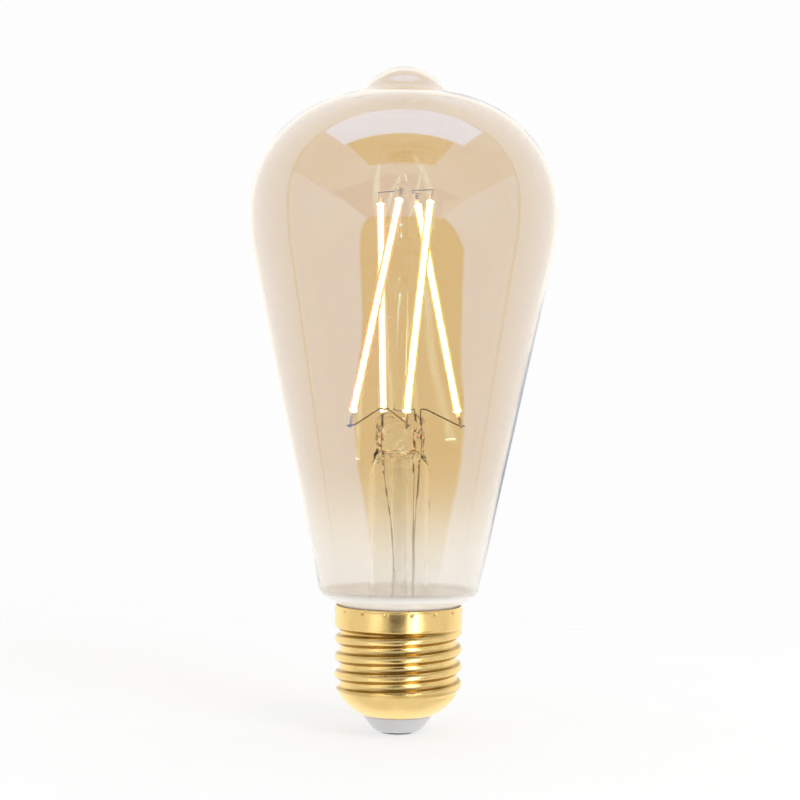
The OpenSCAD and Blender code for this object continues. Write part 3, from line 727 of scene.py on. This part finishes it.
def make_button():
    """A round head, pressed a little flat from front to back."""
    low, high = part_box("post_button")
    r = (high.x - low.x) / 2
    mid = high.z - r
    outline = [(0.02 * MM, low.z), (1.2 * MM, low.z)]
    outline += arc((0, mid), r, -38, 88, 24) + [(0.02 * MM, high.z)]
    button = revolve("button_glass", outline, 64)
    mesh = button.data
    for v in mesh.vertices:
        press = smooth((v.co.z - low.z) / (0.8 * MM))
        v.co = Vector((v.co.x, v.co.y * lerp(1, 0.86, press), v.co.z))
    button.data.materials.append(clear_glass("button_glass", ROD_TINT, wave=0.08, ior=1.25))
    stands_for(button, "clear_glass", "post_button")


make_stem_glass()
make_exhaust_tube()
make_post()
make_button()


# ------------------------------------------------------------------ filaments

COAT_R = 0.97 * MM
GEL_R = 0.60 * MM
COAT_SPLIT = 0.75 * MM      # faces further out than this are the coat's, the others the gel's
CAP_FLAT = 0.55             # how far a rounded end stands out, as a share of its radius


def filament_axis(name):
    """Both ends of a filament's coating, on its axis, found from its own mesh."""
    points = [v.co.copy() for v in NODES[name].data.vertices]
    low = min(p.z for p in points)
    high = max(p.z for p in points)
    foot = [p for p in points if p.z < low + 1.2 * MM]
    head = [p for p in points if p.z > high - 1.2 * MM]
    return sum(foot, Vector()) / len(foot), sum(head, Vector()) / len(head)


def capsule_rings(start, end, r, n=32, caps=6, steps=40):
    """Rings of a slightly uneven rod with rounded ends, from start to end."""
    along = (end - start).normalized()
    side = along.orthogonal().normalized()
    other = along.cross(side)
    length = (end - start).length
    quarter = [math.radians(90 * k / caps) for k in range(caps + 1)]
    turns = [2 * math.pi * k / n for k in range(n)]
    profile = [(-r * math.cos(q) * CAP_FLAT, r * math.sin(q)) for q in quarter]
    profile += [(length * k / steps, r * (1 + 0.03 * math.sin(k * 2.4))) for k in range(1, steps)]
    profile += [(length + r * math.sin(q) * CAP_FLAT, r * math.cos(q)) for q in quarter]
    rings = []
    for at, radius in profile:
        radius = max(radius, 0.01 * MM)
        centre = start + along * at
        rings.append([centre + radius * (math.cos(t) * side + math.sin(t) * other) for t in turns])
    return rings


def phosphor_skin(name, colour, glow, strength, share):
    """Soft silicone that glows and lets the hotter middle show through."""
    m = Nodes(name)
    m.set(Roughness=0.45, Emission_Color=(*glow, 1), Emission_Strength=strength)
    m.link(m.ramp(*shade(m.noise(900, 3), colour, 0.08)), m.shader.inputs["Base Color"])
    cover = m.range(m.noise(1400, 2), 0.3, 0.7, share * 0.92, min(1, share * 1.08))
    m.link(cover, m.shader.inputs["Alpha"])
    m.bump(m.noise(2400, 2), 0.2, 0.00002)
    return m.material


def hot_core(name, glow, strength):
    """Gel or strip that glows by itself, and has the same colour when it doesn't."""
    m = Nodes(name)
    m.set(Roughness=0.5, Emission_Strength=strength)
    m.link(m.ramp(*shade(m.noise(1200, 2), glow, 0.05)), m.shader.inputs["Emission Color"])
    m.link(m.ramp(*shade(m.noise(700, 2), glow, 0.05)), m.shader.inputs["Base Color"])
    return m.material


def make_filaments():
    warm = (hot_core("hot_core_warm", (0.92, 0.96, 1.0), 10.0),
            phosphor_skin("phosphor_warm", (0.50, 0.33, 0.24), (1.0, 0.74, 0.56), 0.32, 0.8))
    cool = (hot_core("hot_core_cool", (0.88, 0.96, 1.0), 13.0),
            phosphor_skin("phosphor_cool", (0.34, 0.31, 0.16), (0.90, 0.86, 0.36), 0.44, 0.8))
    strip = hot_core("lit_strip", (1.0, 0.80, 0.58), 0.3)
    for letter in "abcd":
        node = f"filament_{letter}_coating"
        core, skin = warm if letter in "ab" else cool
        start, end = filament_axis(node)
        lift = (end - start).normalized()
        gel = capsule_rings(start + 0.3 * MM * lift, end - 0.3 * MM * lift, GEL_R)
        coat = capsule_rings(start + 0.5 * MM * lift, end - 0.5 * MM * lift, COAT_R)
        verts, faces = stack(coat)
        more, gel_faces = stack(gel)
        lift_by = len(verts)
        piece = mesh_object(f"filament_{letter}_coat", verts + more,
                            faces + [tuple(lift_by + i for i in f) for f in gel_faces])
        piece.data.materials.append(skin)
        piece.data.materials.append(core)
        for face in piece.data.polygons:
            off = [off_axis(piece.data.vertices[i].co, start, end) for i in face.vertices]
            face.material_index = 0 if min(off) > COAT_SPLIT else 1
        stands_for(piece, NODE_SLOT[node], node)
        inside = f"filament_{letter}_substrate", f"filament_{letter}_chips"
        paint(strip, inside[0], edge=0.03 * MM)
        paint(core, inside[1], edge=0.03 * MM)
        for lit in (piece, *[NODES[name] for name in inside]):
            lit.visible_glossy = False


def off_axis(point, start, end):
    """A point's distance from the line through start and end."""
    u = (end - start).normalized()
    v = point - start
    return (v - v.dot(u) * u).length


NODE_SLOT = {s["node"]: s["material_slot"] for s in frame["record"]["subparts"]}
make_filaments()


# ------------------------------------------------------------------ metal and plastic surfaces

def metal(name, colour, rough, drawn=(1, 1, 1), grain=1500, spread=0.05, bump=0.12):
    """Metal with faint lines or grain, patchy gloss and slight tarnish."""
    m = Nodes(name)
    m.set(Metallic=1.0)
    m.link(m.ramp(*shade(m.noise(grain / 6, 4), colour, spread)), m.shader.inputs["Base Color"])
    gloss = m.range(m.noise(grain / 3, 3), 0.3, 0.7, rough * 0.75, rough * 1.3)
    m.link(gloss, m.shader.inputs["Roughness"])
    m.bump(m.noise(grain, 3, drawn), bump, 0.00001)
    return m.material


# ------------------------------------------------------------------ the screw cap

SHELL_LOW, RIM_Z = span("screw_shell", 2)
THREAD_R = wide("screw_shell")
PITCH = 3.629 * MM
THREAD_ARC = 1.025 * MM
THREAD_DEPTH = 2 * (THREAD_ARC - math.sqrt(THREAD_ARC ** 2 - (PITCH / 4) ** 2))
THREAD_TURN = 65.4
COLLAR_Z, COLLAR_BLEND = 22.2 * MM, 1.1 * MM
CUP_R, CUP_X, CUP_Z = 11 * MM, 2.84 * MM, 13.82 * MM
CUP_BLEND_Z = 10.8 * MM
SHEET = 0.3 * MM
GROOVE_SHADE_FROM = 8.7 * MM, 9.7 * MM       # painted shade on the thread's flanks begins between these heights, above the cup
# The second gold is a dark brown painted on the thread's flanks: painted shade in the grooves.
GOLD, GROOVE_SHADE_GOLD = (1.0, 0.70, 0.275), (0.38, 0.23, 0.05)
CRIMPS = 16
CRIMP_Z, CRIMP_R, CRIMP_DEEP = RIM_Z - 0.78 * MM, 0.46 * MM, 0.28 * MM
RIM_GROOVE_Z, RIM_GROOVE_W, RIM_GROOVE_DEEP = RIM_Z - 0.36 * MM, 0.10 * MM, 0.07 * MM


# Cards that only the brass mirrors: name, degrees round and up, size, power
CARD_FAR = 0.5
CAP_CARDS = [("card_left", -34, -28, (0.34, 0.56), 0.32), ("card_right", 29, -20, (0.15, 0.50), 1.1)]


def thread_rise(u):
    """Height of the thread profile above its mean radius, u pitches from a crest."""
    x = abs(u - round(u)) * PITCH
    near = min(x, PITCH / 2 - x)
    h = THREAD_DEPTH / 2 - THREAD_ARC + math.sqrt(THREAD_ARC ** 2 - near ** 2)
    return h if x <= PITCH / 4 else -h


def cup_radius(z, inset=0.0):
    return CUP_X + math.sqrt((CUP_R - inset) ** 2 - (z - CUP_Z) ** 2)


def shell_radius(a, z):
    mean = THREAD_R - THREAD_DEPTH / 2
    thread = mean + thread_rise(z / PITCH - (a - THREAD_TURN) / 360)
    rolled = lerp(thread, THREAD_R, smooth((z - COLLAR_Z + COLLAR_BLEND) / COLLAR_BLEND))
    return rolled if z > CUP_BLEND_Z else min(rolled, cup_radius(z))


def rim_marks(off, z):
    """How far the collar's skin lies in: the groove under the rim, the crimps and the rounded rim."""
    groove = RIM_GROOVE_DEEP * math.exp(-((z - RIM_GROOVE_Z) / RIM_GROOVE_W) ** 2)
    reach = math.hypot(math.radians(off) * THREAD_R, z - CRIMP_Z) / CRIMP_R
    crimp = CRIMP_DEEP * max(0.0, 1 - reach ** 2) ** 1.5
    edge = 0.12 * MM * max(0.0, (z - RIM_Z + 0.25 * MM) / (0.25 * MM)) ** 2
    return max(groove, crimp) + edge


def shell_columns():
    """Angles round the shell, closer together at each crimp, with how far each is from it."""
    step = 360 / CRIMPS
    columns = []
    for k in range(CRIMPS):
        for i in range(-12, 12):
            u = i / 12
            off = step / 2 * (0.5 * u + 0.5 * u ** 3)
            columns.append((step * (k + 0.5) - 90 + off, off))
    return columns


def shell_levels():
    cup = [lerp(SHELL_LOW, 7.8 * MM, k / 20) for k in range(20)]
    thread = [lerp(7.8 * MM, COLLAR_Z, k / 112) for k in range(112)]
    collar = [lerp(COLLAR_Z, CRIMP_Z - CRIMP_R, k / 8) for k in range(8)]
    return cup + thread + collar + [lerp(CRIMP_Z - CRIMP_R, RIM_Z, k / 22) for k in range(23)]


def gold_plating():
    """Drawn gold plating, with painted shade: dark brown on the thread's flanks, down in the grooves."""
    m = Nodes("gold_shell")
    m.set(Metallic=1.0)
    mapping = m.add("ShaderNodeMapping")
    mapping.inputs["Scale"].default_value = (1, 1, 0)
    m.link(m.coords.outputs["Object"], mapping.inputs["Vector"])
    radius = m.add("ShaderNodeVectorMath", operation="LENGTH")
    m.link(mapping.outputs["Vector"], radius.inputs[0])
    rise = m.range(radius.outputs["Value"], THREAD_R - THREAD_DEPTH, THREAD_R, 0.0, 1.0)
    shaded_flanks = m.ramp(rise, [(0.08, (0, 0, 0)), (0.32, (1, 1, 1)), (0.66, (1, 1, 1)), (0.90, (0, 0, 0))])
    threaded = m.range(m.height(), *GROOVE_SHADE_FROM, 0.0, 1.0)
    # Painted shade: above the cup, the thread's flanks turn dark brown, a little unevenly.
    painted_groove_shade = m.times(m.times(shaded_flanks, threaded), m.range(m.noise(400, 3), 0.2, 0.8, 0.75, 1.0))
    mix = m.add("ShaderNodeMix", data_type="RGBA")
    m.link(painted_groove_shade, mix.inputs["Factor"])
    m.link(m.ramp(*shade(m.noise(150, 4), GOLD, 0.03)), mix.inputs[6])
    mix.inputs[7].default_value = (*GROOVE_SHADE_GOLD, 1)
    m.link(mix.outputs[2], m.shader.inputs["Base Color"])
    m.link(m.range(m.noise(300, 3), 0.3, 0.7, 0.19, 0.32), m.shader.inputs["Roughness"])
    m.bump(m.noise(900, 3, (1, 1, 9)), 0.05, 0.00001)
    return m.material


def make_shell():
    """Rolled from thin sheet: round-bottomed cup, helical thread, plain collar crimped to the neck."""
    columns, every = shell_columns(), 4
    outer, inner = [], []
    for z in shell_levels():
        row = []
        for a, off in columns:
            r = shell_radius(a, z)
            if z > CRIMP_Z - CRIMP_R:
                r -= rim_marks(off, z)
            row.append((r * math.cos(math.radians(a)), r * math.sin(math.radians(a)), z))
        outer.append(row)
    low = SHELL_LOW + 0.25 * MM
    for k in range(76):
        z = lerp(low, RIM_Z, k / 75)
        row = []
        for a, off in columns[::every]:
            r = shell_radius(a, z) - SHEET - (0.1 * MM if z > CRIMP_Z - CRIMP_R else 0)
            row.append((r * math.cos(math.radians(a)), r * math.sin(math.radians(a)), z))
        inner.append(row)
    verts, faces = stack(outer)
    more, inner_faces = stack(inner)
    lift, n = len(verts), len(columns)
    faces += [tuple(lift + i for i in f) for f in inner_faces]
    coarse = n // every
    for start, inside in ((0, lift), (lift - n, lift + len(more) - coarse)):
        for k in range(coarse):
            edge = [start + (every * k + i) % n for i in range(every + 1)]
            faces.append(tuple(edge) + (inside + (k + 1) % coarse, inside + k))
    shell = mesh_object("screw_cap_shell", verts + more, faces)
    shell.data.materials.append(gold_plating())
    stands_for(shell, "gold_shell", "screw_shell")
    cap = Vector((0, 0, 16 * MM))
    for name, turn, dip, size, energy in CAP_CARDS:
        a, e = math.radians(turn), math.radians(dip)
        towards = Vector((math.sin(a) * math.cos(e), -math.cos(a) * math.cos(e), math.sin(e)))
        soft_light(name, cap + CARD_FAR * towards, cap, size, energy, only=shell)


def make_insulator():
    """Moulded cone between the shell and the contact."""
    contact, shank = 3.55, 1.0
    cone = [(contact, 0.9), (contact, 0.5), (3.8, 0.40), (4.4, 0.48), (5.0, 0.85), (5.5, 1.35),
            (7.35, 3.8), (7.1, 3.9), (7.1, 4.3), (8.9, 5.7), (8.9, 6.6), (7.5, 6.6),
            (7.5, 5.2), (6.6, 4.4), (3, 4.4), (3, 7.1), (shank, 7.1), (shank, 0.9)]
    outline = rounded([(r * MM, z * MM) for r, z in cone], 0.35 * MM, 4)
    insulator = revolve("cap_insulator_body", outline, 160)
    # The white plastic is coloured light grey: painted shade of the cone, which faces down.
    insulator.data.materials.append(plain("insulator_white", (0.60, 0.60, 0.61), 0.32, 0.03, 500, 0.1))
    stands_for(insulator, "insulator_white", "cap_insulator")


def make_contact():
    """Pressed disc with a shallow groove and a drop of solder over the end of the lead."""
    high = span("centre_contact", 2)[1]
    face = [(0.01, 0.06), (0.6, 0.08), (1.0, 0.20), (1.25, 0.34), (1.5, 0.26), (1.8, 0.05), (2.05, 0.0),
            (3.05, 0.0), (3.3, 0.06), (3.47, 0.22), (3.5, 0.45), (3.5, 0.9), (0.95, 0.9)]
    outline = rounded([(r * MM, z * MM) for r, z in face], 0.12 * MM, 3)
    outline += [(0.95 * MM, high - 0.1 * MM), (0.85 * MM, high), (0.01 * MM, high)]
    contact = revolve("contact_disc", outline, 128)
    # The disc's metal is near black: painted shade of the downward-facing contact, not its own colour.
    shaded_contact_metal = metal("contact_metal", (0.10, 0.10, 0.10), 0.34, (1, 1, 1), 1600, 0.12, 0.25)
    contact.data.materials.append(shaded_contact_metal)
    stands_for(contact, "contact_metal", "centre_contact")


make_shell()
make_insulator()
make_contact()


# ------------------------------------------------------------------ wires and driver

def paint_cap_inside():
    cement = plain("cement", (0.90, 0.885, 0.85), 0.9, 0.05, 1200, 0.6)
    liner = plain("liner_plastic", (0.88, 0.88, 0.85), 0.45, 0.03, 700, 0.15)
    paint(cement, "cap_cement", edge=0.1 * MM)
    paint(liner, "insulating_liner", edge=0.05 * MM)


def thin_wires(material, *nodes, by):
    """Finer copies of CAD wires, which they stand for."""
    for name in nodes:
        mesh = bmesh.new()
        mesh.from_mesh(NODES[name].data)
        bmesh.ops.remove_doubles(mesh, verts=mesh.verts, dist=1e-6)
        mesh.normal_update()
        verts = [v.co - by * v.normal for v in mesh.verts]
        faces = [tuple(v.index for v in f.verts) for f in mesh.faces]
        mesh.free()
        wire = mesh_object(name + "_wire", verts, faces)
        wire.data.materials.append(material)
        rounder = wire.modifiers.new("rounder", "SUBSURF")
        rounder.levels = rounder.render_levels = 2
        stands_for(wire, NODE_SLOT[name], name)


def paint_wires():
    nickel = metal("nickel", (0.36, 0.33, 0.28), 0.30, (1, 1, 0.1), 2400, 0.12)
    plated = plain("plated_steel", (0.80, 0.74, 0.66), 0.5, 0.08, 2400, 0.12, metal=0.25)
    tinned = metal("tinned_copper", (0.60, 0.51, 0.42), 0.35, (1, 1, 0.1), 2400, 0.12)
    seal = metal("seal_alloy", (0.80, 0.30, 0.14), 0.42, (1, 1, 0.3), 1800, 0.2)
    enamelled = plain("enamelled_copper", (0.52, 0.19, 0.07), 0.22, 0.12, 1500, 0.1, metal=0.75)
    sleeve = plain("sleeve_white", (0.95, 0.95, 0.94), 0.35, 0.02, 1500, 0.15)
    thin_wires(nickel, "common_inner_lead", "common_branch_wire", "warm_inner_lead", "cool_inner_lead",
               by=0.04 * MM)
    thin_wires(nickel, "left_head_link", "right_head_link", by=0.10 * MM)
    paint(plated, *[f"filament_{letter}_tabs" for letter in "abcd"], edge=0.05 * MM)
    thin_wires(tinned, "common_outer_lead", "warm_outer_lead", "cool_outer_lead", by=0.07 * MM)
    thin_wires(seal, "common_seal_wire", "warm_seal_wire", "cool_seal_wire", by=0.06 * MM)
    paint(enamelled, "live_wire", "neutral_wire", smooth_wire=True)
    paint(enamelled, "antenna_wire")
    paint(sleeve, "antenna_sleeve")


def circuit_board():
    """Solder mask over copper tracks: raised, slightly lighter lanes, with bare glass fibre between."""
    m = Nodes("board_green")
    tracks = m.add("ShaderNodeTexBrick", offset=0.5)
    tracks.inputs["Scale"].default_value = 420
    tracks.inputs["Mortar Size"].default_value = 0.05
    tracks.inputs["Color1"].default_value = (0.012, 0.120, 0.040, 1)
    tracks.inputs["Color2"].default_value = (0.018, 0.160, 0.055, 1)
    tracks.inputs["Mortar"].default_value = (0.006, 0.060, 0.022, 1)
    m.link(m.coords.outputs["Object"], tracks.inputs["Vector"])
    m.link(tracks.outputs["Color"], m.shader.inputs["Base Color"])
    m.link(m.range(m.noise(900, 3), 0.3, 0.7, 0.22, 0.40), m.shader.inputs["Roughness"])
    m.bump(tracks.outputs["Fac"], 0.4, 0.00003)
    m.set(Coat_Weight=0.4, Coat_Roughness=0.15)
    return m.material


def wound_copper():
    """Enamelled wire laid turn beside turn."""
    m = Nodes("winding_copper")
    m.set(Metallic=0.8, Roughness=0.25)
    turns = m.add("ShaderNodeTexWave", wave_type="BANDS", bands_direction="Z")
    turns.inputs["Scale"].default_value = 900
    turns.inputs["Distortion"].default_value = 0.6
    m.link(m.coords.outputs["Object"], turns.inputs["Vector"])
    m.link(m.ramp(turns.outputs["Fac"], [(0.1, (0.16, 0.05, 0.02)), (0.6, (0.62, 0.25, 0.10))]),
           m.shader.inputs["Base Color"])
    m.bump(turns.outputs["Fac"], 0.8, 0.0001)
    return m.material


def paint_driver():
    chip = plain("chip_black", (0.018, 0.018, 0.020), 0.42, 0.15, 2200, 0.3)
    can = metal("shield_can", (0.66, 0.66, 0.64), 0.24, (1, 0.2, 1), 1600, 0.06)
    ferrite = plain("ferrite", (0.045, 0.045, 0.048), 0.6, 0.2, 2600, 0.5)
    sleeve = plain("capacitor_sleeve", (0.010, 0.012, 0.030), 0.25, 0.2, 500, 0.1, Coat_Weight=0.4)
    rubber = plain("black_rubber", (0.015, 0.015, 0.015), 0.75, 0.2, 2000, 0.3)
    resistor = plain("resistor_body", (0.05, 0.16, 0.09), 0.6, 0.15, 2000, 0.4)
    ceramic = plain("capacitor_ceramic", (0.36, 0.21, 0.11), 0.5, 0.1, 2400, 0.2)
    pins = metal("pin_gold", (0.83, 0.58, 0.20), 0.25, (1, 1, 0.2), 2000)
    paint(circuit_board(), "power_board", "radio_board", edge=0.05 * MM)
    paint(chip, "bridge_rectifier", "driver_chip", "channel_mosfets", "chip_resistors", edge=0.08 * MM)
    paint(can, "radio_module", "crystal", edge=0.15 * MM)
    paint(ferrite, "choke_core", edge=0.12 * MM)
    paint(wound_copper(), "choke_winding", edge=0.2 * MM)
    paint(sleeve, "bulk_capacitor", edge=0.4 * MM)
    paint(rubber, "capacitor_bung", edge=0.15 * MM)
    paint(resistor, "fuse_resistor", edge=0.4 * MM)
    paint(ceramic, "chip_capacitors", edge=0.06 * MM)
    paint(pins, "board_pins", edge=0.08 * MM)


paint_cap_inside()
paint_wires()
paint_driver()
